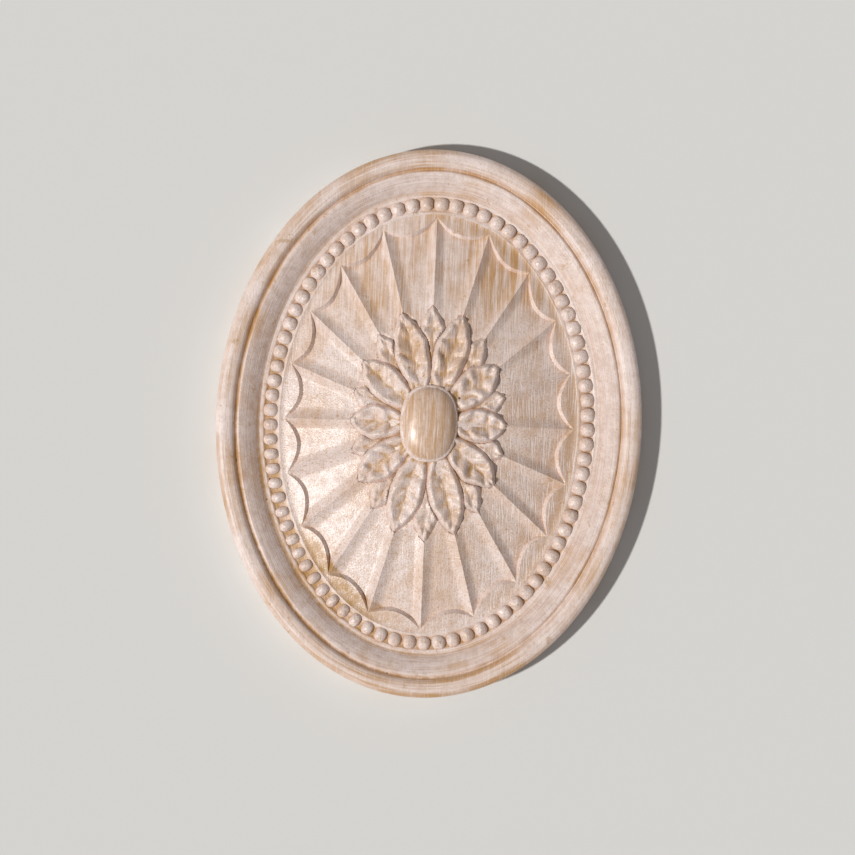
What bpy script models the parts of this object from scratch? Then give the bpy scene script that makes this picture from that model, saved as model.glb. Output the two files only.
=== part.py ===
"""Oval rosette applique, cast in one piece with a flat back.

From the edge inwards it has a crowned rim, a V quirk, a sloping cove, a ring of beads in a
channel, a thin fillet, scalloped flutes that rise as a dome, a whorl of gutter-shaped leaves
and an oval boss on a collar. It lies on its back at z = 0, face up, with the long axis along Y.
The origin is the middle of the back, where it is glued to what it decorates.
"""

import math

import bmesh
import bpy
import numpy as np
from mathutils import Matrix

# Overall size, in metres
WIDTH = 0.0854
HEIGHT = 0.1100

# Border mouldings, each a band of constant width, listed from the edge inwards
RIM_WIDTH = 0.0040
RIM_THICKNESS = 0.0065
RIM_CROWN = 0.0009
QUIRK_WIDTH = 0.0006
QUIRK_RISE = 0.00018
COVE_WIDTH = 0.0042
COVE_FALL = 0.0025
CHANNEL_WIDTH = 0.0035
FILLET_WIDTH = 0.0007
FILLET_RISE = 0.00055
FILLET_WALL = 0.0001
FILLET_STEP = 0.00006
BORDER_MARGIN = 0.0004

# Beads in the channel
BEAD_WIDTH = 0.0031
BEAD_LENGTH = 0.0027
BEAD_GAP = 0.00026
BEAD_RISE = 0.0013
BEAD_CLEARANCE = 0.00006
BEAD_SIDES = 8
BEAD_RINGS = 4

# Fluted field
RAY_COUNT = 20
RIDGE_SHARE = 0.10
HOLLOW_SHARE = 0.28
DOME_RISE = 0.0056
DOME_POWER = 1.9
SCALLOP_DEPTH = 0.0027
SCALLOP_WALL = 0.0010
FLUTE_DEPTH = 0.00135
FLUTE_SLOPE = 0.36
FIELD_RINGS = 4

# Boss in the middle and the collar round it
BOSS_WIDTH = 0.0107
BOSS_HEIGHT = 0.0147
BOSS_RISE = 0.00266
BOSS_SQUARENESS = 2.35
BOSS_FULLNESS = 2.6
BOSS_SIDES = 24
BOSS_RINGS = 10
COLLAR_WIDTH = 0.0004
COLLAR_RISE = 0.0011

# Whorl of leaves: one on each ray, large and small by turns
WHORL_WIDTH = 0.0322
WHORL_HEIGHT = 0.0482
LARGE_LEAF_WIDTH = 0.0075
LARGE_LEAF_RISE = 0.0019
LARGE_LEAF_GUTTER = 0.0024
SMALL_LEAF_WIDTH = 0.0066
SMALL_LEAF_RISE = 0.0013
SMALL_LEAF_GUTTER = 0.0015
LEAF_WIDEST = 0.58
LEAF_ROOT_SHARE = 0.5
LEAF_TIP_SHARE = 0.12
LEAF_COVER = 0.0022
LEAF_COVER_EDGE = 0.00055
LEAF_CROSS_FACETS = 4
LEAF_LENGTH_FACETS = 5

# The field is sunk by the bed's depth under the whorl, inside a share of the field
BED_DEPTH = 0.0019
BED_SHARE = 0.46

# How far each raised piece is sunk into the body that it grows from
EMBED = 0.0004

LIMEWASHED_BODY = (0.72, 0.58, 0.46, 1.0)


def clear_scene():
    """Remove every object that the file starts with."""
    for old in list(bpy.data.objects):
        bpy.data.objects.remove(old, do_unlink=True)


def make_material():
    """Limewashed cast composition: pale, satin and not metallic."""
    material = bpy.data.materials.new("limewashed_composition")
    material.use_nodes = True
    shader = material.node_tree.nodes["Principled BSDF"]
    shader.inputs["Base Color"].default_value = LIMEWASHED_BODY
    shader.inputs["Roughness"].default_value = 0.5
    shader.inputs["Metallic"].default_value = 0.0
    return material


def oval_point(angle, inset):
    """The point that lies a given distance inside the outline, measured square to the outline."""
    half_width = WIDTH / 2
    half_height = HEIGHT / 2
    along = np.array([half_width * np.cos(angle), half_height * np.sin(angle)])
    normal = np.array([np.cos(angle) / half_width, np.sin(angle) / half_height])
    return along - inset * normal / np.linalg.norm(normal, axis=0)


def even_angles(inset, count):
    """Angles whose points divide the inset oval into equal lengths, and the oval's whole length."""
    fine = np.linspace(0.0, 2 * math.pi, 7201)
    steps = np.linalg.norm(np.diff(oval_point(fine, inset), axis=1), axis=0)
    travelled = np.concatenate([[0.0], np.cumsum(steps)])
    wanted = travelled[-1] * np.arange(count) / count
    return np.interp(wanted, travelled, fine), travelled[-1]


COVE_INSET = RIM_WIDTH + QUIRK_WIDTH
CHANNEL_INSET = COVE_INSET + COVE_WIDTH
FILLET_INSET = CHANNEL_INSET + CHANNEL_WIDTH
FIELD_INSET = FILLET_INSET + FILLET_WIDTH + FILLET_WALL
TIP_INSET = FIELD_INSET + BORDER_MARGIN
BEAD_INSET = FILLET_INSET - BEAD_CLEARANCE - BEAD_WIDTH / 2

COVE_TOP = RIM_THICKNESS - RIM_CROWN + QUIRK_RISE
CHANNEL_FLOOR = COVE_TOP - COVE_FALL
FIELD_EDGE = CHANNEL_FLOOR + FILLET_RISE - FILLET_STEP


def border_rows():
    """Inset and height of each line of the border, from the back edge to the field's edge."""
    rows = [(0.0, 0.0)]
    for share in (0.0, 0.1, 0.3, 0.7, 0.9, 1.0):
        fall = abs(2 * share - 1) ** 2.5
        rows.append((share * RIM_WIDTH, RIM_THICKNESS - RIM_CROWN * fall))
    rows.append((COVE_INSET, COVE_TOP))
    for share in (0.4, 0.75, 1.0):
        eased = 0.3 * share + 0.7 * share**2
        rows.append((COVE_INSET + share * COVE_WIDTH, COVE_TOP - eased * COVE_FALL))
    rows.append((FILLET_INSET, CHANNEL_FLOOR))
    rows.append((FILLET_INSET + FILLET_WALL, CHANNEL_FLOOR + FILLET_RISE))
    rows.append((FILLET_INSET + FILLET_WIDTH, CHANNEL_FLOOR + FILLET_RISE))
    rows.append((FIELD_INSET, FIELD_EDGE))
    return rows


def field_share(x, y):
    """0 in the middle of the field and 1 on the oval through the flutes' tips."""
    return math.hypot(x / (WIDTH / 2 - TIP_INSET), y / (HEIGHT / 2 - TIP_INSET))


def dome_height(x, y):
    """Height of the dome that the flutes are cut into."""
    return FIELD_EDGE + DOME_RISE * (1 - min(1.0, field_share(x, y)) ** DOME_POWER)


def flute_hollow(across):
    """0 on the ridge at either side of a flute and 1 along its floor; across runs from 0 to 1."""
    return math.sin(math.pi / 2 * min(1.0, (1 - abs(2 * across - 1)) / FLUTE_SLOPE))


def sunk_depth(x, y, across):
    """How far the field lies below the dome: the flute's depth, and the whorl's bed."""
    share = min(1.0, field_share(x, y))
    return FLUTE_DEPTH * share * flute_hollow(across) + (BED_DEPTH if share < BED_SHARE else 0.0)


def extrude_ring(bm, edges, place):
    """Extrude a loop of edges and move each new vertex to place(column)."""
    column = bm.verts.layers.int["column"]
    made = bmesh.ops.extrude_edge_only(bm, edges=edges)["geom"]
    for part in made:
        if isinstance(part, bmesh.types.BMVert):
            part.co = place(part[column])
    return [part for part in made if isinstance(part, bmesh.types.BMEdge) and part.is_boundary]


def body_mesh():
    """The cast body: flat back, border mouldings and fluted field, without what is raised on it."""
    stations = (0.0, RIDGE_SHARE, HOLLOW_SHARE, 0.5, 1 - HOLLOW_SHARE, 1 - RIDGE_SHARE)
    columns = RAY_COUNT * len(stations)
    across = stations * RAY_COUNT
    angles, _ = even_angles(TIP_INSET, columns)
    rays, _ = even_angles(TIP_INSET, RAY_COUNT)
    places = [k // len(stations) + across[k] for k in range(columns)]
    flute_angles = np.interp(places, range(RAY_COUNT + 1), [*rays, 2 * math.pi])
    tips = oval_point(flute_angles, TIP_INSET)

    bm = bmesh.new()
    column = bm.verts.layers.int.new("column")
    bmesh.ops.create_circle(bm, cap_ends=True, segments=columns, radius=1.0)
    for face in bm.faces:
        face.normal_flip()
    for k, vert in enumerate(bm.verts):
        vert[column] = k
        vert.co = (*oval_point(angles[k], 0.0), 0.0)
    edges = list(bm.edges)

    for inset, height in border_rows()[1:]:
        line = oval_point(angles, inset)
        edges = extrude_ring(bm, edges, lambda k, line=line, z=height: (line[0][k], line[1][k], z))

    reach = np.hypot(*tips)
    scallop = [SCALLOP_DEPTH * (1 - (2 * a - 1) ** 2) for a in across]
    rim_share = [1 - scallop[k] / reach[k] for k in range(columns)]
    walls = [SCALLOP_WALL * (0.4 + 0.6 * flute_hollow(a)) for a in across]
    foot_share = [rim_share[k] - walls[k] / reach[k] for k in range(columns)]
    middle = min(BOSS_WIDTH / WIDTH, BOSS_HEIGHT / HEIGHT)

    def on_dome(k):
        x, y = tips[:, k] * rim_share[k]
        return (x, y, dome_height(x, y))

    edges = extrude_ring(bm, edges, on_dome)
    for step in range(FIELD_RINGS + 1):
        inward = (step / FIELD_RINGS) ** 0.9

        def in_flute(k, inward=inward):
            share = foot_share[k] * (1 - inward) + middle * inward
            x, y = tips[:, k] * share
            return (x, y, dome_height(x, y) - sunk_depth(x, y, across[k]))

        edges = extrude_ring(bm, edges, in_flute)
    under_boss = dome_height(*(tips[:, 0] * middle)) - BED_DEPTH
    for vert in {vert for edge in edges for vert in edge.verts}:
        vert.co.z = under_boss
    bmesh.ops.edgeloop_fill(bm, edges=edges)
    bmesh.ops.recalc_face_normals(bm, faces=bm.faces)
    return bm


def bead_ring_mesh():
    """Every bead, as a low dome of few sides sunk into the channel's floor."""
    _, length = even_angles(BEAD_INSET, 1)
    angles, _ = even_angles(BEAD_INSET, int(length / (BEAD_LENGTH + BEAD_GAP)))
    form = Matrix.Diagonal((BEAD_WIDTH / 2, BEAD_LENGTH / 2, BEAD_RISE, 1.0))
    bm = bmesh.new()
    for angle in angles:
        outward = math.atan2(math.sin(angle) / HEIGHT, math.cos(angle) / WIDTH)
        turn = Matrix.Rotation(outward, 4, "Z")
        place = Matrix.Translation((*oval_point(angle, BEAD_INSET), CHANNEL_FLOOR))
        bmesh.ops.create_uvsphere(
            bm, u_segments=BEAD_SIDES, v_segments=BEAD_RINGS, radius=1.0, matrix=place @ turn @ form
        )
    return bm


def boss_mesh(margin, rise, rings):
    """An oval cabochon with flattened sides, grown by a margin and standing on the dome."""
    bm = bmesh.new()
    bmesh.ops.create_uvsphere(bm, u_segments=BOSS_SIDES, v_segments=rings, radius=1.0)
    crown = dome_height(0.0, 0.0)
    lowest = dome_height(BOSS_WIDTH / 2 + margin, 0.0) - BED_DEPTH - FLUTE_DEPTH - EMBED
    for vert in bm.verts:
        px, py, pz = vert.co
        bearing = math.atan2(py, px)
        power = BOSS_SQUARENESS
        square = (abs(math.cos(bearing)) ** power + abs(math.sin(bearing)) ** power) ** (-1 / power)
        lift = math.sqrt(max(0.0, 1 - math.hypot(px, py) ** BOSS_FULLNESS))
        vert.co = (
            px * square * (BOSS_WIDTH / 2 + margin),
            py * square * (BOSS_HEIGHT / 2 + margin),
            crown + lift * rise if pz > 0 else crown + pz * (crown - lowest),
        )
    return bm


def leaf_half_width(along, width):
    """Half the leaf's width, from its narrow root over its widest part to its tip."""
    if along < LEAF_WIDEST:
        swell = math.sin(math.pi / 2 * along / LEAF_WIDEST)
        return width / 2 * (LEAF_ROOT_SHARE + (1 - LEAF_ROOT_SHARE) * swell)
    past = (along - LEAF_WIDEST) / (1 - LEAF_WIDEST)
    return width / 2 * (LEAF_TIP_SHARE + (1 - LEAF_TIP_SHARE) * (1 - past**1.6) ** 0.85)


def smooth_step(share):
    """Ease from 0 to 1 with no slope at either end."""
    share = min(1.0, max(0.0, share))
    return share * share * (3 - 2 * share)


def leaf_span(bearing):
    """Distances from the middle at which a leaf along this bearing starts and ends."""
    aim_x = math.cos(bearing)
    aim_y = math.sin(bearing)
    tip = 1 / math.hypot(aim_x / (WHORL_WIDTH / 2), aim_y / (WHORL_HEIGHT / 2))
    root = 0.8 / math.hypot(aim_x / (BOSS_WIDTH / 2), aim_y / (BOSS_HEIGHT / 2))
    return root, tip


def covered(x, y, bearing):
    """How far a point is under the large leaf of this bearing: 1 well inside, 0 outside."""
    root, tip = leaf_span(bearing)
    out = x * math.cos(bearing) + y * math.sin(bearing)
    side = abs(y * math.cos(bearing) - x * math.sin(bearing))
    along = (out - root) / (tip - root)
    if not 0 < along < 1:
        return 0.0
    return smooth_step((leaf_half_width(along, LARGE_LEAF_WIDTH) - side) / LEAF_COVER_EDGE)


def leaf_mesh(bearing, width, rise, gutter, over=()):
    """One leaf along a ray: raised edges, a gutter down the middle and a steep side all round.

    It is pressed down where the leaves at the bearings in over lie on it.
    """
    aim_x = math.cos(bearing)
    aim_y = math.sin(bearing)
    root, tip = leaf_span(bearing)

    bm = bmesh.new()
    bmesh.ops.create_grid(
        bm, x_segments=LEAF_CROSS_FACETS, y_segments=LEAF_LENGTH_FACETS, size=1.0
    )
    for vert in bm.verts:
        across, along = vert.co.x, (vert.co.y + 1) / 2
        out = root + (tip - root) * along
        half = leaf_half_width(along, width)
        side = -across * half
        x = out * aim_x - side * aim_y
        y = out * aim_y + side * aim_x
        raised = rise * (0.25 + 0.75 * smooth_step((along - 0.05) / 0.35)) * (1 - 0.3 * along**3)
        hollow = gutter * half / (width / 2) * (1 - abs(across) ** 1.15) * smooth_step(along / 0.3)
        pressed = LEAF_COVER * max([covered(x, y, other) for other in over], default=0.0)
        vert.co = (x, y, dome_height(x, y) + raised - hollow - pressed)
    top = list(bm.faces)
    made = bmesh.ops.extrude_face_region(bm, geom=top, use_keep_orig=True)["geom"]
    for part in made:
        if isinstance(part, bmesh.types.BMVert):
            part.co.z = dome_height(part.co.x, part.co.y) - BED_DEPTH - FLUTE_DEPTH - EMBED
    bmesh.ops.recalc_face_normals(bm, faces=bm.faces)
    return bm


def add_object(name, bm, collection):
    """Turn a finished bmesh into an object of the given collection."""
    mesh = bpy.data.meshes.new(name)
    bm.to_mesh(mesh)
    bm.free()
    item = bpy.data.objects.new(name, mesh)
    collection.objects.link(item)
    return item


def add_whorl(collection):
    """Collar, boss and leaves, each a closed shape that is then fused to the body."""
    add_object("collar", boss_mesh(COLLAR_WIDTH, COLLAR_RISE, BOSS_RINGS // 2), collection)
    add_object("boss", boss_mesh(0.0, BOSS_RISE, BOSS_RINGS), collection)
    rays, _ = even_angles(TIP_INSET, RAY_COUNT)
    tips = oval_point(rays, TIP_INSET)
    bearings = np.arctan2(tips[1], tips[0])
    large = (LARGE_LEAF_WIDTH, LARGE_LEAF_RISE, LARGE_LEAF_GUTTER)
    small = (SMALL_LEAF_WIDTH, SMALL_LEAF_RISE, SMALL_LEAF_GUTTER)
    for k, bearing in enumerate(bearings):
        if k % 2:
            beside = (bearings[k - 1], bearings[(k + 1) % RAY_COUNT])
            leaf = leaf_mesh(bearing, *small, over=beside)
        else:
            leaf = leaf_mesh(bearing, *large)
        add_object(f"leaf_{k + 1}", leaf, collection)


def fuse(body, title, raised=None, group=None):
    """Join one raised object, or a group of them, to the body as one solid."""
    union = body.modifiers.new(title, "BOOLEAN")
    union.operation = "UNION"
    union.solver = "EXACT"
    if group:
        union.operand_type = "COLLECTION"
        union.collection = group
    else:
        union.object = raised
    for item in group.objects if group else [raised]:
        item.hide_render = True
        item.display_type = "WIRE"


def main():
    clear_scene()
    scene = bpy.context.scene
    whorl = bpy.data.collections.new("whorl")
    scene.collection.children.link(whorl)
    add_whorl(whorl)
    bead_ring = add_object("bead_ring", bead_ring_mesh(), scene.collection)

    rosette = add_object("rosette_applique", body_mesh(), scene.collection)
    rosette.data.materials.append(make_material())
    fuse(rosette, "fuse bead ring", raised=bead_ring)
    fuse(rosette, "fuse whorl", group=whorl)


main()
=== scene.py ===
"""Looks of the oval rosette applique: cast wood-flour composition under a brushed limewash.

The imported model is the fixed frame. The casting's body, bead ring, leaf whorl and boss are
modelled finely here and stand for the faceted solid. They are carving on one casting.
"""

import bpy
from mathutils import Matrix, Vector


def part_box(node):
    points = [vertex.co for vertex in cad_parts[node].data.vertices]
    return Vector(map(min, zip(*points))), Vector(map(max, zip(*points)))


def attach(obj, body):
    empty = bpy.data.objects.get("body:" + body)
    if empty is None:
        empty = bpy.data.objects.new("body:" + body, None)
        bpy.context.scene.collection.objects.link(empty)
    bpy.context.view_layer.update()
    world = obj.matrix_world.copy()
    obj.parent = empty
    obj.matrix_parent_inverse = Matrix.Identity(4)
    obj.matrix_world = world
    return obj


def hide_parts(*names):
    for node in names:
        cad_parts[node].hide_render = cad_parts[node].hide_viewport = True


bl_info = {
    "name": "Rosette Applique",
    "version": (1, 0, 0),
    "blender": (4, 5, 0),
    "location": "3D View > Sidebar > Rosette",
    "description": "Builds an oval limewashed rosette applique and its studio stage",
    "category": "Object",
}

import math
import random
from types import SimpleNamespace

import bmesh
import bpy
import numpy as np
from bpy.props import FloatProperty, FloatVectorProperty, IntProperty, PointerProperty
from mathutils import Matrix, Vector, noise
from mathutils.bvhtree import BVHTree

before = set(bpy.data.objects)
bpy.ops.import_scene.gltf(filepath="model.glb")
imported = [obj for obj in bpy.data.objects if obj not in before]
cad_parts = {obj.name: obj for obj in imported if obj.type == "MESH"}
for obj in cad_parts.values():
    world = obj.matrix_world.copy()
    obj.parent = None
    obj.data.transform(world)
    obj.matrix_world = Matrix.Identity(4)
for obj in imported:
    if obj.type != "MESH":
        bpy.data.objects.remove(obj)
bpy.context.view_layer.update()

MM = 0.001
NODE = "rosette_applique"
BODY = "root"
NODE_LOW, NODE_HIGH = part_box(NODE)
HALF_WIDTH = NODE_HIGH[0]
HALF_HEIGHT = NODE_HIGH[1]
PIECES = ("cast_body", "bead_ring", "leaf_whorl", "oval_boss")

# Unit of the coordinates across the brush strokes
BRUSH_UNIT = 0.3 * MM

# Share of the wash that is rubbed off the rim and off the rest of the border
RIM_WEAR = 0.35
COVE_WEAR = 0.1

# Where more is gone from the rim: bearing anticlockwise from the right and spread, both in
# degrees, and how much more
RUBBED_SPOTS = ((97, 9, 0.5), (62, 10, 0.35), (-8, 16, 0.3), (-95, 30, 0.35), (-35, 8, 0.25))

# How much thinner the wash is at the two sides of the cove
COVE_THINNED = 0.42

# How strongly the bristles' lines show on the border, and at the bottom and top of the field
BORDER_STREAKS = 0.75
FIELD_STREAKS = (0.1, 0.8)

# Where the most ochre has settled round the beads, and in the corners between the flutes:
# bearing and spread in degrees
SETTLED_SPOT = (-140, 45)
SETTLED_CORNERS = (-118, 20)


def length(name, description, default):
    """A size in metres that the sidebar shows in the scene's units."""
    return FloatProperty(name=name, description=description, default=default, unit="LENGTH", precision=5)


def colour(name, description, code):
    """A colour given as an sRGB hex value."""
    return FloatVectorProperty(
        name=name, description=description, default=linear(code), subtype="COLOR", size=3, min=0, max=1
    )


def linear(code):
    """The linear red, green and blue of an sRGB hex value."""
    channels = [int(code[k : k + 2], 16) / 255 for k in (1, 3, 5)]
    return [c / 12.92 if c <= 0.04045 else ((c + 0.055) / 1.055) ** 2.4 for c in channels]


class RosetteBorder(bpy.types.PropertyGroup):
    """Mouldings, from the edge inwards"""

    rim_width: length("Rim width", "Width of the crowned rim", 3.85 * MM)
    rim_thickness: length("Rim thickness", "Height of the rim's crest above the back", 6.5 * MM)
    rim_crown: length("Rim crown", "How far the rim's two edges lie below its crest", 0.9 * MM)
    quirk_width: length("Quirk width", "Width from the quirk's bottom to the small arris", 0.75 * MM)
    quirk_rise: length("Quirk rise", "Height of the arris above the rim's inner edge", 0.15 * MM)
    quirk_depth: length("Quirk depth", "Depth of the narrow groove inside the rim", 0.3 * MM)
    cove_width: length("Cove width", "Width of the slope down to the beads", 4.2 * MM)
    cove_fall: length("Cove fall", "Height that the slope loses", 2.5 * MM)
    channel_width: length("Channel width", "Width of the channel that holds the beads", 3.5 * MM)
    foot_width: length("Foot width", "Width of the flat foot between the cove and the beads", 0.6 * MM)
    foot_rise: length("Foot rise", "Height of the cove's foot above the channel", 0.35 * MM)
    fillet_width: length("Fillet width", "Width of the thin fillet inside the beads", 0.7 * MM)
    fillet_rise: length("Fillet rise", "Height of the fillet above the channel", 0.55 * MM)
    fillet_step: length("Fillet step", "How far the field's edge lies below the fillet", 0.06 * MM)
    fillet_wall: length("Fillet wall", "Width that each side of the fillet leans over", 0.1 * MM)
    margin: length("Field margin", "Gap between the fillet and the flutes' tips", 0.4 * MM)
    bead_diameter: length("Bead diameter", "Diameter of one bead, across the channel", 3.0 * MM)
    bead_pitch: length("Bead pitch", "Distance from one bead to the next", 2.96 * MM)
    bead_gap: length("Bead gap", "Widest gap between two beads, at the lower left", 0.8 * MM)
    bead_sunk: length("Bead overlap", "How far the beads reach into the fillet", 0.1 * MM)
    bead_rise: length("Bead rise", "Height of a bead above the channel", 1.3 * MM)


class RosetteField(bpy.types.PropertyGroup):
    """Fluted field and what stands on it"""

    rays: IntProperty(name="Rays", description="Number of flutes and of leaves", default=20, min=4)
    dome_rise: length("Dome rise", "Height that the field gains towards the middle", 5.6 * MM)
    dome_power: FloatProperty(name="Dome power", description="How late the dome flattens", default=1.9)
    scallop_depth: length("Scallop depth", "How far a flute's end bows in from its tips", 2.7 * MM)
    scallop_wall: length("Scallop wall", "Width of the slope at a flute's end", 0.8 * MM)
    flute_depth: length("Flute depth", "Depth of a flute at its outer end", 1.35 * MM)
    flute_slope: length("Flute slope", "Width of the slope at each side of a flute", 2.0 * MM)
    boss_width: length("Boss width", "Width of the oval boss", 10.7 * MM)
    boss_height: length("Boss height", "Height of the oval boss", 14.7 * MM)
    boss_rise: length("Boss rise", "How far the boss stands above the dome", 2.6 * MM)
    boss_squareness: FloatProperty(name="Boss squareness", description="Two is a true oval", default=2.35)
    collar_width: length("Collar width", "Width of the collar round the boss", 0.42 * MM)
    collar_rise: length("Collar rise", "How far the collar stands above the dome", 1.25 * MM)
    whorl_width: length("Whorl width", "Width across the leaves' tips", 32.2 * MM)
    whorl_height: length("Whorl height", "Height across the leaves' tips", 48.2 * MM)
    large_width: length("Large leaf width", "Width of a large leaf", 7.5 * MM)
    large_rise: length("Large leaf rise", "Height of a large leaf's edge", 1.5 * MM)
    large_gutter: length("Large leaf gutter", "Depth of a large leaf's gutter", 1.9 * MM)
    small_width: length("Small leaf width", "Width of a small leaf", 6.6 * MM)
    small_rise: length("Small leaf rise", "Height of a small leaf's edge", 1.15 * MM)
    small_gutter: length("Small leaf gutter", "Depth of a small leaf's gutter", 1.4 * MM)
    whorl_bed: length("Whorl bed", "How far the field is sunk under the leaves", 1.9 * MM)


class RosetteFinish(bpy.types.PropertyGroup):
    """Limewash over the tan casting"""

    wash: colour("Limewash", "Pinkish white of the wash where it lies thick", "#F2E3DE")
    thin_wash: colour("Thin wash", "The wash where the brush has drawn it thin", "#CDB6AB")
    casting: colour("Casting", "Tan of the bare composition", "#C2945F")
    deep: colour("Hollows", "Ochre that has settled in the hollows", "#B18748")
    # Painted shade: the dark brown put in the pinholes stands for the shade inside them
    pinhole_shade: colour("Pinholes", "Dark inside of cast bubbles", "#6B4426")
    stroke_mm: FloatProperty(name="Stroke (mm)", description="Width of one bristle's line", default=0.28)
    stipple_mm: FloatProperty(name="Stipple (mm)", description="Size of the wash's grain", default=0.35)


def oval_point(angle, inset):
    """The point a given distance inside the outline, measured square to the outline."""
    along = np.array([HALF_WIDTH * np.cos(angle), HALF_HEIGHT * np.sin(angle)])
    normal = np.array([np.cos(angle) / HALF_WIDTH, np.sin(angle) / HALF_HEIGHT])
    return along - inset * normal / np.linalg.norm(normal, axis=0)


def even_angles(inset, count):
    """Angles whose points divide the inset oval into equal lengths, and the oval's whole length."""
    fine = np.linspace(0.0, 2 * math.pi, 7201)
    steps = np.linalg.norm(np.diff(oval_point(fine, inset), axis=1), axis=0)
    travelled = np.concatenate([[0.0], np.cumsum(steps)])
    return np.interp(travelled[-1] * np.arange(count) / count, travelled, fine), travelled[-1]


def levels(border):
    """Where each moulding begins, and the heights that they share."""
    cove = border.rim_width + border.quirk_width
    channel = cove + border.cove_width
    fillet = channel + border.channel_width
    field = fillet + border.fillet_width + border.fillet_wall
    cove_top = border.rim_thickness - border.rim_crown + border.quirk_rise
    floor = cove_top - border.cove_fall
    return SimpleNamespace(
        cove=cove,
        channel=channel,
        fillet=fillet,
        field=field,
        tip=field + border.margin,
        cove_top=cove_top,
        floor=floor,
        field_edge=floor + border.fillet_rise - border.fillet_step,
    )


def smooth_step(share):
    """Ease from 0 to 1 with no slope at either end."""
    share = min(1.0, max(0.0, share))
    return share * share * (3 - 2 * share)


def field_share(x, y, tip):
    """0 in the middle of the field and 1 on the oval through the flutes' tips."""
    return min(1.0, math.hypot(x / (HALF_WIDTH - tip), y / (HALF_HEIGHT - tip)))


def outwardness(x, y, tip):
    """The same share for arrays of points, going on past 1 on the border."""
    return np.hypot(x / (HALF_WIDTH - tip), y / (HALF_HEIGHT - tip))


def dome_height(x, y, at, field):
    """Height of the dome that the flutes are cut into."""
    return at.field_edge + field.dome_rise * (1 - field_share(x, y, at.tip) ** field.dome_power)


def border_rows(border, at):
    """Inset and height of each line of the border, from the back edge to the field's edge."""
    # Eased back edge and upright side
    rows = [(0.2 * MM, 0.0), (0.05 * MM, 0.06 * MM), (0.0, 0.25 * MM)]
    side_top = border.rim_thickness - border.rim_crown
    rows += [(0.0, side_top * share) for share in (0.35, 0.7, 0.93)]

    # Crowned rim, with its lines closest at both edges
    for step in range(19):
        share = (1 - math.cos(math.pi * step / 18)) / 2
        fall = border.rim_crown * abs(2 * share - 1) ** 3.2
        fall += 0.75 * border.quirk_depth * smooth_step((share - 0.8) / 0.2)
        rows.append((share * border.rim_width, border.rim_thickness - fall))

    # Quirk: its narrow groove and the rise to the arris
    groove = 0.3
    for step in range(1, 11):
        share = step / 10
        height = side_top - border.quirk_depth * (0.75 + 0.25 * min(1.0, share / groove))
        lift = max(0.0, (share - groove) / (1 - groove))
        height += (border.quirk_depth + border.quirk_rise) * math.sin(math.pi / 2 * lift)
        rows.append((border.rim_width + share * border.quirk_width, height))

    # Cove, down to its foot
    foot_start = 0.93
    for step in range(1, 15):
        share = step / 14
        slope = min(1.0, share / foot_start)
        eased = (0.3 * slope + 0.7 * slope**2) * (border.cove_fall - border.foot_rise)
        rows.append((at.cove + share * border.cove_width, at.cove_top - eased))

    # Channel, from the cove's flat foot to where it is filled up against the fillet
    for step in range(1, 17):
        inward = step / 16 * border.channel_width
        foot = border.foot_rise * (1 - smooth_step((inward - border.foot_width) / (0.4 * MM)))
        filled = 0.8 * border.fillet_rise * max(0.0, 1.6 * step / 16 - 0.6) ** 2
        rows.append((at.channel + inward, at.floor + foot + filled))

    # Fillet with a low crown
    crown = 0.06 * MM
    shoulder = at.floor + border.fillet_rise - crown
    inner = border.fillet_width - 2 * border.fillet_wall
    for step in range(5):
        share = step / 4
        height = shoulder + crown * math.sin(math.pi * share)
        rows.append((at.fillet + border.fillet_wall + share * inner, height))
    rows.append((at.fillet + border.fillet_width, at.field_edge + 0.01 * MM))
    rows.append((at.field, at.field_edge))
    return rows


def extrude_ring(bm, edges, place):
    """Extrude a loop of edges, move each new vertex to place(column) and return the new loop."""
    column = bm.verts.layers.int["column"]
    made = bmesh.ops.extrude_edge_only(bm, edges=edges)["geom"]
    for part in made:
        if isinstance(part, bmesh.types.BMVert):
            part.co = place(part[column])
    return [part for part in made if isinstance(part, bmesh.types.BMEdge) and part.is_boundary]


def bevelled(distance, width):
    """Fall of a flute's side from its ridge: steep at first, and flat from the given width on."""
    return 1 - (1 - np.minimum(1.0, distance / width)) ** 1.35


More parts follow.
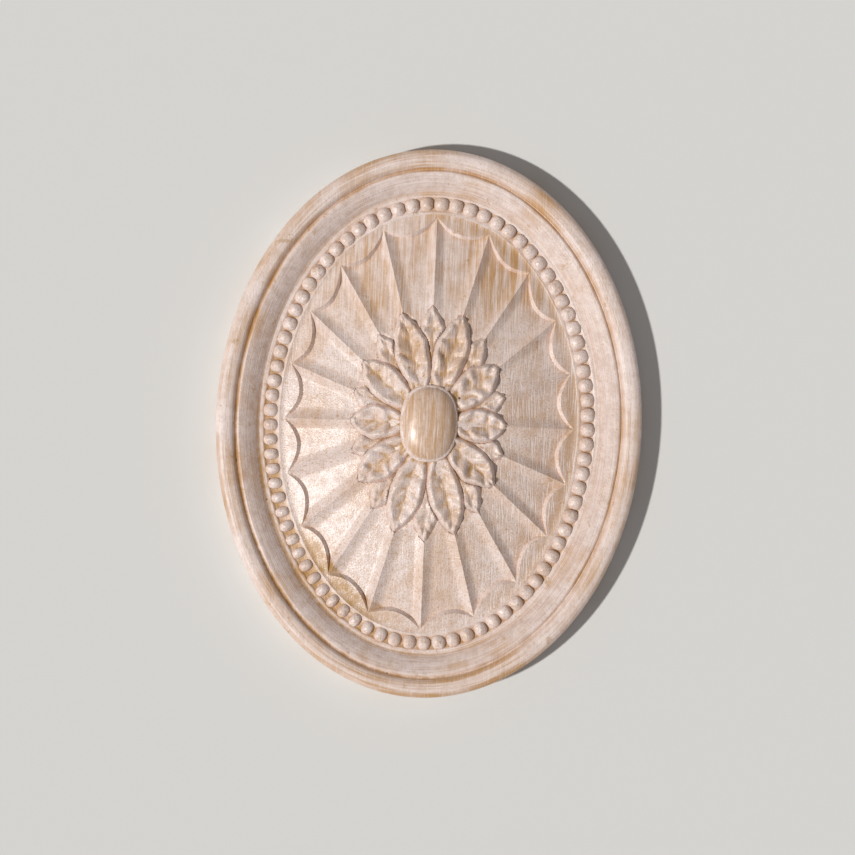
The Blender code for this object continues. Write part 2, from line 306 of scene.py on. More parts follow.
def body_mesh(border, field):
    """The casting's body: flat back, border mouldings and fluted field in one closed surface."""
    at = levels(border)
    per_flute = 30
    spandrel_steps = 5
    wall_steps = 8
    flute_steps = 52
    middle = 0.13
    whorl_reach = 0.6
    rays, ring = even_angles(at.tip, field.rays)
    columns = field.rays * per_flute
    phase = np.arange(columns) % per_flute / per_flute
    across = phase - 0.6 * np.sin(2 * math.pi * phase) / (2 * math.pi)
    places = np.arange(columns) // per_flute + across
    angles = np.interp(places, range(field.rays + 1), [*rays, 2 * math.pi])
    tips = oval_point(angles, at.tip)
    reach = np.hypot(*tips)

    bm = bmesh.new()
    column = bm.verts.layers.int.new("column")
    bmesh.ops.create_circle(bm, cap_ends=True, segments=columns, radius=1.0)
    rows = border_rows(border, at)
    start = oval_point(angles, rows[0][0])
    for k, vert in enumerate(bm.verts):
        vert[column] = k
        vert.co = (start[0][k], start[1][k], 0.0)
    edges = list(bm.edges)
    for inset, height in rows[1:]:
        line = oval_point(angles, inset)
        edges = extrude_ring(bm, edges, lambda k, line=line, z=height: (line[0][k], line[1][k], z))

    brink = 1 - field.scallop_depth * (1 - (2 * across - 1) ** 2) / reach
    from_ridge = (1 - np.abs(2 * across - 1)) * ring / field.rays / 2
    edge_line = oval_point(angles, at.field)
    leaves = leaf_bearings(border, field)

    def spandrel(k, share):
        x, y = edge_line[:, k] * (1 - share) + tips[:, k] * brink[k] * share
        return (x, y, dome_height(x, y, at, field))

    def flute(k, out, cut):
        x, y = tips[:, k] * out
        out_share = field_share(x, y, at.tip)
        depth = field.flute_depth * out_share * bevelled(from_ridge[k] * out, field.flute_slope) * cut
        bed = 0.0
        if out_share < whorl_reach:
            beside = (k // per_flute, (k // per_flute + 1) % field.rays)
            narrowed = [leaf_sizes(j, field)[0] - 0.7 * MM for j in beside]
            bed = max(covered(x, y, leaves[j], w, field) for j, w in zip(beside, narrowed))
        return (x, y, dome_height(x, y, at, field) - depth - field.whorl_bed * bed)

    for step in range(1, spandrel_steps + 1):
        edges = extrude_ring(bm, edges, lambda k, s=step / spandrel_steps: spandrel(k, s))
    wall = field.scallop_wall * (0.4 + 0.6 * bevelled(from_ridge, field.flute_slope)) / reach
    for step in range(1, wall_steps + 1):
        share = step / wall_steps
        edges = extrude_ring(bm, edges, lambda k, s=share: flute(k, brink[k] - wall[k] * s, s))
    foot = brink - wall
    for step in range(1, flute_steps + 1):
        share = step / flute_steps
        edges = extrude_ring(bm, edges, lambda k, s=share: flute(k, foot[k] * (1 - s) + middle * s, 1.0))
    bmesh.ops.edgeloop_fill(bm, edges=edges)
    bmesh.ops.recalc_face_normals(bm, faces=bm.faces)
    return bm


def bead_mesh(border):
    """Every bead as a small dome, each a little off its true place and size as in a soft mould."""
    at = levels(border)
    inset = at.fillet - border.bead_diameter / 2 + border.bead_sunk
    _, ring = even_angles(inset, 1)
    angles, _ = even_angles(inset, round(ring / border.bead_pitch))
    rng = random.Random(11)
    bm = bmesh.new()
    for angle in angles:
        x, y = oval_point(angle, inset + rng.gauss(0, 0.04) * MM)
        radius = border.bead_diameter / 2 * (1 + rng.gauss(0, 0.02))
        rise = border.bead_rise * (1 + rng.gauss(0, 0.06))
        apart = 0.1 + 0.9 * nearness(angle, *SETTLED_SPOT)
        along = (border.bead_pitch - border.bead_gap * apart) / 2 * (1 + rng.gauss(0, 0.03))
        outward = math.atan2(math.sin(angle) / HALF_HEIGHT, math.cos(angle) / HALF_WIDTH)
        place = Matrix.Translation((x, y, at.floor)) @ Matrix.Rotation(outward, 4, "Z")
        for vert in bmesh.ops.create_uvsphere(bm, u_segments=20, v_segments=12, radius=1.0)["verts"]:
            square = squared(vert.co, 2.5)
            px, py, pz = vert.co
            vert.co = place @ Vector((px * square * radius, py * square * along, pz * rise))
    return bm


def squared(point, power):
    """How much further out a point lies when its circle is squared off; a power of 2 leaves it."""
    turn = math.atan2(point[1], point[0])
    return (abs(math.cos(turn)) ** power + abs(math.sin(turn)) ** power) ** (-1 / power)


def boss_shape(bm, border, field, margin, rise, rings):
    """An oval cabochon with flattened sides, grown by a margin and standing on the dome."""
    at = levels(border)
    made = bmesh.ops.create_uvsphere(bm, u_segments=72, v_segments=rings, radius=1.0)
    crown = dome_height(0.0, 0.0, at, field)
    sunk = 1.6 * MM
    for vert in made["verts"]:
        px, py, pz = vert.co
        square = squared(vert.co, field.boss_squareness)
        lift = max(0.0, 1 - math.hypot(px, py) ** 2.6) ** 0.5 if pz > 0 else pz
        vert.co = (
            px * square * (field.boss_width / 2 + margin),
            py * square * (field.boss_height / 2 + margin),
            crown + lift * (rise if pz > 0 else sunk),
        )


def leaf_half_width(along, width):
    """Half the leaf's width, from its narrow root over its widest part to its tip."""
    widest = 0.58
    root_share = 0.5
    if along < widest:
        return width / 2 * (root_share + (1 - root_share) * math.sin(math.pi / 2 * along / widest))
    past = min(1.0, (along - widest) / (1 - widest))
    return width / 2 * (1 - past**1.6) ** 0.85


def leaf_span(bearing, field):
    """Distances from the middle at which a leaf along this bearing starts and ends."""
    aim = (math.cos(bearing), math.sin(bearing))
    tip = 1 / math.hypot(aim[0] / (field.whorl_width / 2), aim[1] / (field.whorl_height / 2))
    root = 0.8 / math.hypot(aim[0] / (field.boss_width / 2), aim[1] / (field.boss_height / 2))
    return root, tip


def leaf_bearings(border, field):
    """The bearing of each ray, seen from the middle."""
    tip = levels(border).tip
    tips = oval_point(even_angles(tip, field.rays)[0], tip)
    return np.arctan2(tips[1], tips[0])


def leaf_sizes(k, field):
    """Width, height of the edges and depth of the gutter: leaves are large and small by turns."""
    if k % 2:
        return field.small_width, field.small_rise, field.small_gutter
    return field.large_width, field.large_rise, field.large_gutter


def covered(x, y, bearing, width, field):
    """How far a point is under the leaf of this bearing and width: 1 well inside, 0 outside."""
    root, tip = leaf_span(bearing, field)
    out = x * math.cos(bearing) + y * math.sin(bearing)
    side = abs(y * math.cos(bearing) - x * math.sin(bearing))
    along = (out - root) / (tip - root)
    if not 0 < along < 1:
        return 0.0
    inside = min(leaf_half_width(along, width) - side - 0.05 * MM, tip - out - 0.5 * MM)
    return smooth_step(inside / (0.55 * MM))


def add_leaf(bm, border, field, k, bearings, rng):
    """One leaf along a ray: thick raised edges, a gutter down the middle and crinkled halves."""
    at = levels(border)
    width, rise, gutter = leaf_sizes(k, field)
    bearing = bearings[k]
    beside = (bearings[k - 1], bearings[(k + 1) % field.rays]) if k % 2 else ()
    aim_x = math.cos(bearing)
    aim_y = math.sin(bearing)
    root, tip = leaf_span(bearing, field)
    lobes = max(2.5, (tip - root) / (3.2 * MM))
    starts = (rng.uniform(0, 1), rng.uniform(0, 1))
    depth = rng.uniform(0.8, 1.3) * 0.34 * MM

    made = bmesh.ops.create_grid(bm, x_segments=34, y_segments=48, size=1.0)
    brush = bm.verts.layers.float_vector["brushed"]
    for vert in made["verts"]:
        across = math.sin(math.pi / 2 * vert.co.x)
        along = math.sin(math.pi / 2 * (vert.co.y + 1) / 2)
        out = root + (tip - root) * along
        wavy = 1 + 0.08 * noise.noise(Vector((out / (2.5 * MM), 5 * bearing, 3.0 * (across > 0))))
        half = leaf_half_width(along, width) * wavy + 0.02 * MM
        sway = 0.25 * MM * noise.noise(Vector((out / (3 * MM), bearing, 0.5))) * along
        side = -across * half + sway
        x = out * aim_x - side * aim_y
        y = out * aim_y + side * aim_x
        from_edge = min(half * (1 - abs(across)), tip - out)
        skirt = math.sin(math.pi / 2 * min(1.0, from_edge / (1.3 * MM))) / 2
        skirt += smooth_step(from_edge / (1.3 * MM)) / 2
        raised = rise * (0.25 + 0.75 * smooth_step((along - 0.05) / 0.35)) * (1 - 0.3 * along**3)
        valley = gutter * half / (width / 2) * (1 - abs(across) ** 1.15) * smooth_step(along / 0.3)
        phase = lobes * along - 0.6 * abs(across) + starts[across > 0]
        wander = 0.5 * noise.noise(Vector((x, y, bearing)) / (2.5 * MM))
        crinkle = depth * math.sin(2 * math.pi * (phase + wander)) * math.sin(math.pi * abs(across))
        under = max([covered(x, y, other, field.large_width, field) for other in beside], default=0.0)
        height = (raised - valley + crinkle) * skirt - 0.9 * MM * (1 - skirt)
        vert.co = (x, y, dome_height(x, y, at, field) + height - 2.2 * MM * under)
        vert[brush] = (side / MM / 0.5, out / MM / 4.0, bearing)
    rim = {edge for vert in made["verts"] for edge in vert.link_edges if edge.is_boundary}
    bmesh.ops.edgeloop_fill(bm, edges=list(rim))


def whorl_mesh(border, field):
    """The leaves, large and small by turns, one on each ray, and the collar that ties them."""
    bm = bmesh.new()
    bm.verts.layers.float_vector.new("brushed")
    rng = random.Random(5)
    bearings = leaf_bearings(border, field)
    for k in range(field.rays):
        add_leaf(bm, border, field, k, bearings, rng)
    boss_shape(bm, border, field, field.collar_width, field.collar_rise, 24)
    bmesh.ops.recalc_face_normals(bm, faces=bm.faces)
    return bm


def soften(bm, amount, grain):
    """Give a surface the faint unevenness of a casting, leaving the back and the outline alone."""
    for vert in bm.verts:
        inside = 1 - math.hypot(vert.co.x / HALF_WIDTH, vert.co.y / HALF_HEIGHT)
        hold = smooth_step(inside / 0.03) * smooth_step(vert.co.z / (2 * MM))
        vert.co.z += amount * hold * noise.noise(vert.co / grain)


def nearness(angle, bearing, spread):
    """1 at a bearing given in degrees, and less the further an angle is from it."""
    turn = np.angle(np.exp(1j * (angle - math.radians(bearing))))
    return np.exp(-((turn / math.radians(spread)) ** 2))


def vertex_values(mesh, name):
    """An array with three numbers for each vertex: its "co" or its "normal"."""
    values = np.empty(len(mesh.vertices) * 3, dtype=np.float32)
    mesh.vertices.foreach_get(name, values)
    return values.reshape(-1, 3)


def store_values(mesh, name, values):
    """Store a number, or one number for each vertex, where the material can read it."""
    layer = mesh.attributes.new(name, "FLOAT", "POINT")
    layer.data.foreach_set("value", np.float32(values) + np.zeros(len(mesh.vertices), dtype=np.float32))


def add_brushing(mesh, border, wear_and_shade, streaks):
    """Store how the brush ran, how strongly its lines show, and how much wash the rubbing took off, together
    with painted shade as more tan towards the right inside the border.

    It ran round the ring on the border, and up and down inside it.
    """
    at = levels(border)
    steep = 1 - vertex_values(mesh, "normal")[:, 2]
    x, y, z = vertex_values(mesh, "co").T
    angle = np.arctan2(y / HALF_HEIGHT, x / HALF_WIDTH)
    ratio = np.hypot(x / HALF_WIDTH, y / HALF_HEIGHT)
    inset = (1 - ratio) * np.hypot(HALF_WIDTH * np.cos(angle), HALF_HEIGHT * np.sin(angle))
    inner = inset > at.fillet + border.fillet_width
    round_ring = np.stack([3.2 * np.cos(angle), 3.2 * np.sin(angle), (inset - z) / BRUSH_UNIT], axis=1)
    up_down = np.stack([x / BRUSH_UNIT, y / (7.0 * MM), 5.0 + 0 * z], axis=1)
    brushed = np.where(inner[:, None], up_down, round_ring).astype(np.float32)
    if "brushed" not in mesh.attributes:
        layer = mesh.attributes.new("brushed", "FLOAT_VECTOR", "POINT")
        layer.data.foreach_set("vector", brushed.ravel())
    if streaks is None:
        shown = np.interp(y, (0.2 * HALF_HEIGHT, 0.55 * HALF_HEIGHT), FIELD_STREAKS)
        streaks = np.where(inner, shown, BORDER_STREAKS)
    rubbed_and_shaded = np.where(inset < at.cove, RIM_WEAR, COVE_WEAR)
    upward = np.maximum(y, 0) / HALF_HEIGHT
    # Painted shade: the rightward share, and the right-hand corners below, add tan on the side away from the
    # key light; the upward share is rubbing towards the top
    rightward = np.maximum(x, 0) / HALF_WIDTH
    outward = outwardness(x, y, at.tip)
    corners = 0.6 * rightward * (outward > 0.955)
    # Rubbing inside the border, with that painted shade added to it
    on_field = wear_and_shade + 0.3 * rightward + 0.7 * upward + corners - 2.5 * np.maximum(steep - 0.2, 0)
    rubbed_and_shaded = np.where(inner, on_field, rubbed_and_shaded + 0.2 * np.maximum(-y, 0) / HALF_HEIGHT)
    for bearing, spread, amount in RUBBED_SPOTS:
        rubbed_and_shaded += amount * nearness(angle, bearing, spread) * (inset < at.cove)
    on_cove = (inset > at.cove) & (inset < at.channel)
    thinned = COVE_THINNED * (0.3 + 0.7 * np.cos(angle) ** 2) * on_cove
    for name, values in (("wear_and_shade", rubbed_and_shaded), ("streaks", streaks), ("thinned", thinned)):
        store_values(mesh, name, values)


def finish_piece(name, bm, border, wear_and_shade, streaks=None):
    """Turn a finished bmesh into a piece that rides on the casting and stands for its solid.

    Its wear number is how much of its wash the rubbing takes off, and goes past 1 where the steep sides are
    bare too; inside the border, painted shade is added to it as more tan towards the right.
    Streaks is how strongly the bristles' lines show, from 0 to 1, or None where it follows the place.
    """
    mesh = bpy.data.meshes.new(name)
    bm.to_mesh(mesh)
    bm.free()
    add_brushing(mesh, border, wear_and_shade, streaks)
    mesh.shade_smooth()
    mesh.set_sharp_from_angle(angle=math.radians(55))
    piece = bpy.data.objects.new(name, mesh)
    bpy.context.scene.collection.objects.link(piece)
    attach(piece, BODY)
    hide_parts(NODE)


def blurred(heights, cells):
    """Mean of a height map over a square of cells, repeated once for a soft falloff."""
    for _ in range(2):
        padded = np.pad(heights, ((cells + 1, cells), (cells + 1, cells)), mode="edge")
        total = padded.cumsum(0).cumsum(1)
        side = 2 * cells + 1
        box = total[side:, side:] - total[:-side, side:] - total[side:, :-side] + total[:-side, :-side]
        heights = box / side**2
    return heights


def store_hollows(pieces):
    """Store on every vertex how far it lies below (over 0.5) or above (under 0.5) what is near it."""
    verts = []
    faces = []
    for piece in pieces:
        start = len(verts)
        verts += [v.co for v in piece.data.vertices]
        faces += [[start + k for k in face.vertices] for face in piece.data.polygons]
    tree = BVHTree.FromPolygons(verts, faces)
    cell = 0.25 * MM
    across = np.arange(-HALF_WIDTH - 2 * MM, HALF_WIDTH + 2 * MM, cell)
    upward = np.arange(-HALF_HEIGHT - 2 * MM, HALF_HEIGHT + 2 * MM, cell)
    down = Vector((0, 0, -1))
    heights = np.zeros((len(upward), len(across)))
    at = levels(bpy.context.scene.rosette_border)
    for j, y in enumerate(upward):
        for i, x in enumerate(across):
            hit = tree.ray_cast(Vector((x, y, 0.1)), down)[0]
            heights[j, i] = hit.z if hit else at.floor
    near = blurred(heights, 2)
    wide = blurred(heights, 7)
    for piece in pieces:
        x, y, z = vertex_values(piece.data, "co").T
        flat = np.maximum(vertex_values(piece.data, "normal")[:, 2], 0) ** 2
        i = np.clip(np.round((x - across[0]) / cell).astype(int), 0, len(across) - 1)
        j = np.clip(np.round((y - upward[0]) / cell).astype(int), 0, len(upward) - 1)
        level = (near[j, i] - z) / (0.5 * MM) + (wide[j, i] - z) / (1.6 * MM)
        around, corners = (nearness(np.arctan2(y, x), *spot) for spot in (SETTLED_SPOT, SETTLED_CORNERS))
        outward = outwardness(x, y, at.tip)
        inside = outward < 1.02

        # By depth in the leaves, in the field's lower corners, by place on the border, and
        # nowhere on the outer edge
        share = 1.5 * flat if piece.name == "leaf_whorl" else 0.2
        level *= np.where(inside, share, 0.45 + 0.85 * around)
        level += 0.9 * corners * (inside & (outward > 0.93))
        level *= np.hypot(x / HALF_WIDTH, y / HALF_HEIGHT) < 0.985
        store_values(piece.data, "hollow", np.clip(0.5 + 0.5 * level, 0, 1))


def add_node(tree, kind, inputs=None, out=0, **settings):
    """Add one node, set its properties, set or link its inputs, and return one of its outputs."""
    node = tree.nodes.new(kind)
    for key, value in settings.items():
        setattr(node, key, value)
    for key, value in (inputs or {}).items():
        if isinstance(value, bpy.types.NodeSocket):
            tree.links.new(value, node.inputs[key])
        else:
            node.inputs[key].default_value = value
    return node.outputs[out]


def limewashed_composition(finish):
    """Cast wood-flour composition under a brushed limewash.

    It gives the eye a chalky pinkish white that the bristles have drawn into fine lines, a
    stippled grain, tan where the wash is thin or taken off by rubbing, more tan towards the right as
    painted shade, ochre in the hollows, pinholes painted dark as the shade inside them, fine scratches and a
    satin glint.
    """
    material = bpy.data.materials.new("brushed_limewash_on_cast_composition")
    material.use_nodes = True
    tree = material.node_tree
    shader = tree.nodes["Principled BSDF"]
    noise_kind = "ShaderNodeTexNoise"
    range_kind = "ShaderNodeMapRange"
    maths_kind = "ShaderNodeMath"
    mix_kind = "ShaderNodeMix"
    place = add_node(tree, "ShaderNodeTexCoord", out="Object")
    brushed = add_node(tree, "ShaderNodeAttribute", out="Vector", attribute_name="brushed")
    hollow, wear_and_shade, streaks, thinned = [
        add_node(tree, "ShaderNodeAttribute", out="Fac", attribute_name=name)
        for name in ("hollow", "wear_and_shade", "streaks", "thinned")
    ]

    # Bristle lines, patches, mottle and grain, each a noise round 0.5. A bristle's line and the
    # wash's grain can be finer than a 0.2 mm pixel, and are drawn coarse enough to show.
    lines = add_node(
        tree,
        noise_kind,
        {"Vector": brushed, "Scale": BRUSH_UNIT / (finish.stroke_mm * MM), "Detail": 3.0, "Roughness": 0.6},
    )
    lines = add_node(tree, mix_kind, {0: streaks, 2: 0.5, 3: lines}, data_type="FLOAT")
    bands = add_node(tree, noise_kind, {"Vector": brushed, "Scale": 0.22, "Detail": 2.0})
    bands = add_node(tree, mix_kind, {0: streaks, 2: 0.47, 3: bands}, data_type="FLOAT")
    patches = add_node(tree, noise_kind, {"Vector": place, "Scale": 1 / (9 * MM), "Detail": 3.0})
    mottle = add_node(
        tree, noise_kind, {"Vector": place, "Scale": 1 / (1.8 * MM), "Detail": 4.0, "Roughness": 0.65}
    )
    grain = add_node(
        tree,
        noise_kind,
        {"Vector": place, "Scale": 1 / (finish.stipple_mm * MM), "Detail": 2.0, "Roughness": 0.6},
    )

    # Thick and thin wash
    thin_lines = add_node(
        tree, range_kind, {"Value": lines, "From Min": 0.45, "From Max": 0.62, "To Max": 0.45}
    )
    thin_spots = add_node(
        tree, range_kind, {"Value": mottle, "From Min": 0.42, "From Max": 0.7, "To Max": 0.55}
    )
    thin = add_node(tree, maths_kind, {0: thin_lines, 1: thin_spots}, operation="ADD")
    thin = add_node(tree, maths_kind, {0: thin, 1: thinned}, operation="ADD", use_clamp=True)
    base = add_node(
        tree, mix_kind, {0: thin, 6: (*finish.wash, 1), 7: (*finish.thin_wash, 1)}, 2, data_type="RGBA"
    )

    # Rubbed down to the casting in patches and low places, along the bristles' lines; the same mix also lays
    # painted shade, more tan towards the right inside the border
    worn_and_shaded = add_node(
        tree,
        range_kind,
        {"Value": patches, "From Min": 0.42, "From Max": 0.66, "To Min": -0.3, "To Max": 0.35},
    )
    worn_and_shaded = add_node(tree, maths_kind, {0: worn_and_shaded, 1: wear_and_shade}, operation="ADD", use_clamp=True)
    low = add_node(tree, range_kind, {"Value": hollow, "From Min": 0.5, "From Max": 0.8, "To Max": 0.6})
    worn_and_shaded = add_node(tree, maths_kind, {0: worn_and_shaded, 1: low}, operation="ADD", use_clamp=True)
    along = add_node(tree, maths_kind, {0: lines, 1: bands}, operation="ADD")
    along = add_node(
        tree, range_kind, {"Value": along, "From Min": 0.86, "From Max": 1.1, "To Min": 0.25, "To Max": 1.0}
    )
    worn_and_shaded = add_node(tree, maths_kind, {0: worn_and_shaded, 1: along}, operation="MULTIPLY", use_clamp=True)
    base = add_node(tree, mix_kind, {0: worn_and_shaded, 6: base, 7: (*finish.casting, 1)}, 2, data_type="RGBA")

    # Ochre in the hollows, and a few flecks of it on the field
    deep = add_node(tree, range_kind, {"Value": hollow, "From Min": 0.66, "From Max": 0.9})
    broken = add_node(
        tree, range_kind, {"Value": mottle, "From Min": 0.35, "From Max": 0.6, "To Min": 0.1, "To Max": 0.85}
    )
    deep = add_node(tree, maths_kind, {0: deep, 1: broken}, operation="MULTIPLY")
    flecks = add_node(
        tree, noise_kind, {"Vector": place, "Scale": 1 / (2.6 * MM), "Detail": 5.0, "Roughness": 0.72}
    )
    flecks = add_node(
        tree, range_kind, {"Value": flecks, "From Min": 0.62, "From Max": 0.67, "To Max": 0.5}
    )
    deep = add_node(tree, maths_kind, {0: deep, 1: flecks}, operation="MAXIMUM")
    base = add_node(tree, mix_kind, {0: deep, 6: base, 7: (*finish.deep, 1)}, 2, data_type="RGBA")

    # Grain that shows tan through the wash, and pale scratches. Those are as fine as hairs on the
    # casting, and are drawn 0.3 mm wide so that they show.
    still = add_node(tree, range_kind, {"Value": streaks, "To Min": 0.65, "To Max": 0.05})
    speckle = add_node(
        tree, range_kind, {"Value": grain, "From Min": 0.5, "From Max": 0.66, "To Max": still}
    )
    base = add_node(tree, mix_kind, {0: speckle, 6: base, 7: (*finish.casting, 1)}, 2, data_type="RGBA")
    hatched = add_node(
        tree,
        "ShaderNodeMapping",
        {"Vector": place, "Rotation": (0, 0, 0.5), "Scale": (1 / (0.3 * MM), 1 / (5 * MM), 1 / (3 * MM))},
    )
    hairs = add_node(
        tree, noise_kind, {"Vector": hatched, "Scale": 1.0, "Detail": 2.0, "Distortion": 0.5}
    )
    hairs = add_node(tree, range_kind, {"Value": hairs, "From Min": 0.52, "From Max": 0.62})
    scratched = add_node(
        tree, range_kind, {"Value": wear_and_shade, "From Min": 0.15, "From Max": 0.35, "To Max": still}
    )
    scratches = add_node(tree, maths_kind, {0: hairs, 1: scratched}, operation="MULTIPLY")
    base = add_node(tree, mix_kind, {0: scratches, 6: base, 7: (*finish.wash, 1)}, 2, data_type="RGBA")

    # Pinholes that the casting left in its hollows: a dent in the bump, with dark brown painted in them as
    # the shade inside each hole
    cells = add_node(tree, "ShaderNodeTexVoronoi", {"Vector": place, "Scale": 1 / (2.6 * MM)}, "Distance")
    pits = add_node(
        tree, range_kind, {"Value": cells, "From Min": 0.07, "From Max": 0.1, "To Min": 1.0, "To Max": 0.0}
    )
    low = add_node(tree, range_kind, {"Value": hollow, "From Min": 0.86, "From Max": 0.9})
    pits = add_node(tree, maths_kind, {0: pits, 1: low}, operation="MULTIPLY")
    base = add_node(tree, mix_kind, {0: pits, 6: base, 7: (*finish.pinhole_shade, 1)}, 2, data_type="RGBA")
    tree.links.new(base, shader.inputs["Base Color"])

    # Satin, with a glossier coat where rubbing has polished it, and fine relief from the brush
    shader.inputs["Metallic"].default_value = 0.0
    shader.inputs["IOR"].default_value = 1.5
    polish = add_node(tree, range_kind, {"Value": wear_and_shade, "From Min": 0.6, "To Max": 0.7})
    tree.links.new(polish, shader.inputs["Coat Weight"])
    shader.inputs["Coat Roughness"].default_value = 0.32
    rough = add_node(
        tree,
        range_kind,
        {"Value": mottle, "From Min": 0.35, "From Max": 0.65, "To Min": 0.22, "To Max": 0.42},
    )
    rough = add_node(tree, mix_kind, {0: wear_and_shade, 2: rough, 3: 0.29}, data_type="FLOAT")
    rough = add_node(tree, mix_kind, {0: streaks, 2: rough, 3: 0.5}, data_type="FLOAT")
    tree.links.new(rough, shader.inputs["Roughness"])
    relief = add_node(tree, maths_kind, {0: lines, 1: grain}, operation="ADD")
    relief = add_node(tree, maths_kind, {0: relief, 1: pits}, operation="SUBTRACT")
    relief = add_node(tree, maths_kind, {0: relief, 1: scratches}, operation="SUBTRACT")
    depth = add_node(tree, range_kind, {"Value": wear_and_shade, "To Min": 0.9, "To Max": 0.3})
    bump = add_node(
        tree, "ShaderNodeBump", {"Height": relief, "Strength": depth, "Distance": 0.1 * MM}
    )
    tree.links.new(bump, shader.inputs["Normal"])
    return material


def plain_backdrop():
    """Matte painted board: it gives the eye an even pale grey with no gloss."""
    material = bpy.data.materials.new("matte_painted_board")
    material.use_nodes = True
    shader = material.node_tree.nodes["Principled BSDF"]
    shader.inputs["Base Color"].default_value = (*linear("#DCDCDA"), 1.0)
    shader.inputs["Roughness"].default_value = 0.9
    return material


class ROSETTE_OT_cast_body(bpy.types.Operator):
    """Model the body: back, rim, quirk, cove, bead channel, fillet and scalloped flutes"""

    bl_idname = "rosette.cast_body"
    bl_label = "Cast Body"

    def execute(self, context):
        border = context.scene.rosette_border
        bm = body_mesh(border, context.scene.rosette_field)
        soften(bm, 0.05 * MM, 2.2 * MM)
        finish_piece("cast_body", bm, border, wear_and_shade=0.2)
        return {"FINISHED"}


class ROSETTE_OT_bead_ring(bpy.types.Operator):
    """Model the ring of beads in the channel"""

    bl_idname = "rosette.bead_ring"
    bl_label = "Bead Ring"

    def execute(self, context):
        border = context.scene.rosette_border
        bm = bead_mesh(border)
        soften(bm, 0.16 * MM, 0.9 * MM)
        finish_piece("bead_ring", bm, border, wear_and_shade=0.15, streaks=0.2)
        return {"FINISHED"}


class ROSETTE_OT_leaf_whorl(bpy.types.Operator):
    """Model the whorl of gutter-shaped leaves and the collar that they spring from"""

    bl_idname = "rosette.leaf_whorl"
    bl_label = "Leaf Whorl"

    def execute(self, context):
        border = context.scene.rosette_border
        bm = whorl_mesh(border, context.scene.rosette_field)
        soften(bm, 0.09 * MM, 0.9 * MM)
        finish_piece("leaf_whorl", bm, border, wear_and_shade=0.25, streaks=0.25)
        return {"FINISHED"}


class ROSETTE_OT_oval_boss(bpy.types.Operator):
    """Model the oval boss"""

    bl_idname = "rosette.oval_boss"
    bl_label = "Oval Boss"

    def execute(self, context):
        border = context.scene.rosette_border
        field = context.scene.rosette_field
        bm = bmesh.new()
        boss_shape(bm, border, field, 0.0, field.boss_rise, 40)
        soften(bm, 0.05 * MM, 1.6 * MM)
        finish_piece("oval_boss", bm, border, wear_and_shade=1.6, streaks=0.32)
        return {"FINISHED"}


class ROSETTE_OT_limewash(bpy.types.Operator):
    """Find the hollows and crests, and give every piece its brushed limewash"""

    bl_idname = "rosette.limewash"
    bl_label = "Limewash"

    def execute(self, context):
        pieces = [context.scene.objects[name] for name in PIECES]
        store_hollows(pieces)
        material = limewashed_composition(context.scene.rosette_finish)
        for piece in pieces:
            piece.data.materials.append(material)
        return {"FINISHED"}


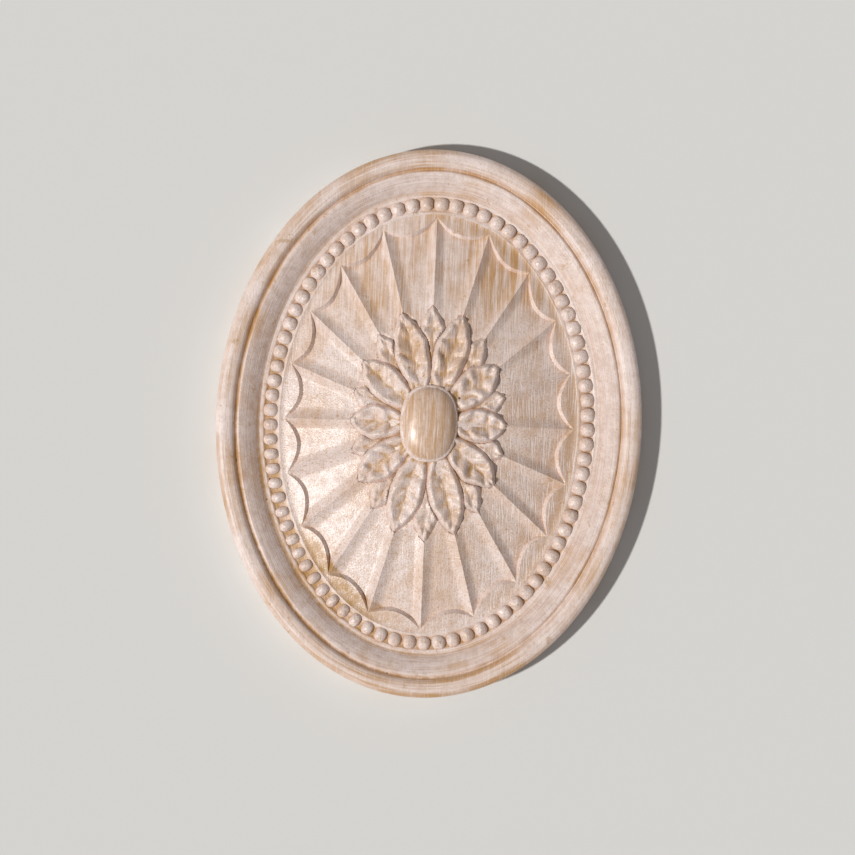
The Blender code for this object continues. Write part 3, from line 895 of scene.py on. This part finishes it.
class ROSETTE_OT_stage(bpy.types.Operator):
    """Lay the pale floor, light it as the photograph is lit and look straight down"""

    bl_idname = "rosette.stage"
    bl_label = "Stage"

    def execute(self, context):
        scene = context.scene
        floor = bpy.data.meshes.new("studio_floor")
        bm = bmesh.new()
        bmesh.ops.create_grid(bm, x_segments=1, y_segments=1, size=1.5)
        bm.to_mesh(floor)
        bm.free()
        floor.materials.append(plain_backdrop())
        ground = bpy.data.objects.new("studio_floor", floor)
        scene.collection.objects.link(ground)
        self.add_camera(scene)
        self.add_lights(scene)
        return {"FINISHED"}

    def add_camera(self, scene):
        """Straight overhead, with the oval turned and placed in the frame as in the photograph."""
        frame_px = 855
        oval_px = 548.3
        metres_per_px = 2 * HALF_HEIGHT / oval_px
        centre_px = (428.86, 423.58)
        roll = math.radians(2.33)
        distance = 1.2
        data = bpy.data.cameras.new("overhead_camera")
        data.sensor_width = 36.0
        data.sensor_fit = "HORIZONTAL"
        rim_height = 5.0 * MM
        data.lens = data.sensor_width * (distance - rim_height) / (frame_px * metres_per_px)
        camera = bpy.data.objects.new("overhead_camera", data)
        right = (frame_px / 2 - centre_px[0]) * metres_per_px
        up = (centre_px[1] - frame_px / 2) * metres_per_px
        turn = Matrix.Rotation(roll, 4, "Z")
        camera.matrix_world = turn @ Matrix.Translation((right, up, distance))
        scene.collection.objects.link(camera)
        scene.camera = camera

    def add_lights(self, scene):
        """A key from the left at about 52 degrees up, and a pale room that fills the shade."""
        elevation = math.radians(52)
        to_key = Vector((-0.94, -0.34, 0.0)).normalized() * math.cos(elevation)
        to_key.z = math.sin(elevation)
        data = bpy.data.lights.new("key", "SUN")
        data.energy = 2.75
        data.angle = math.radians(3)
        data.color = (1.0, 0.98, 0.955)
        key = bpy.data.objects.new("key", data)
        key.matrix_world = to_key.to_track_quat("Z", "Y").to_matrix().to_4x4()
        scene.collection.objects.link(key)
        scene.view_settings.view_transform = "Standard"
        room = bpy.data.worlds.new("pale_room")
        room.use_nodes = True
        room.node_tree.nodes["Background"].inputs["Color"].default_value = (0.95, 0.93, 0.93, 1.0)
        room.node_tree.nodes["Background"].inputs["Strength"].default_value = 0.25
        scene.world = room


class ROSETTE_PT_panel(bpy.types.Panel):
    """Sizes, finish and building steps of the rosette"""

    bl_idname = "ROSETTE_PT_panel"
    bl_label = "Rosette"
    bl_space_type = "VIEW_3D"
    bl_region_type = "UI"
    bl_category = "Rosette"

    def draw(self, context):
        for group in (
            context.scene.rosette_border,
            context.scene.rosette_field,
            context.scene.rosette_finish,
        ):
            box = self.layout.box()
            for name in group.__annotations__:
                box.prop(group, name)
        for operator in OPERATORS:
            self.layout.operator(operator.bl_idname)


GROUPS = {
    "rosette_border": RosetteBorder,
    "rosette_field": RosetteField,
    "rosette_finish": RosetteFinish,
}
OPERATORS = (
    ROSETTE_OT_cast_body,
    ROSETTE_OT_bead_ring,
    ROSETTE_OT_leaf_whorl,
    ROSETTE_OT_oval_boss,
    ROSETTE_OT_limewash,
    ROSETTE_OT_stage,
)


def register():
    """Add the classes and the sizes that they share."""
    for cls in (*GROUPS.values(), *OPERATORS, ROSETTE_PT_panel):
        bpy.utils.register_class(cls)
    for name, group in GROUPS.items():
        setattr(bpy.types.Scene, name, PointerProperty(type=group))


def unregister():
    """Remove what register added."""
    for name in GROUPS:
        delattr(bpy.types.Scene, name)
    for cls in reversed((*GROUPS.values(), *OPERATORS, ROSETTE_PT_panel)):
        bpy.utils.unregister_class(cls)


def main():
    """Build every piece and the stage."""
    register()
    for operator in OPERATORS:
        group, step = operator.bl_idname.split(".")
        getattr(getattr(bpy.ops, group), step)()


if __name__ == "__main__":
    main()
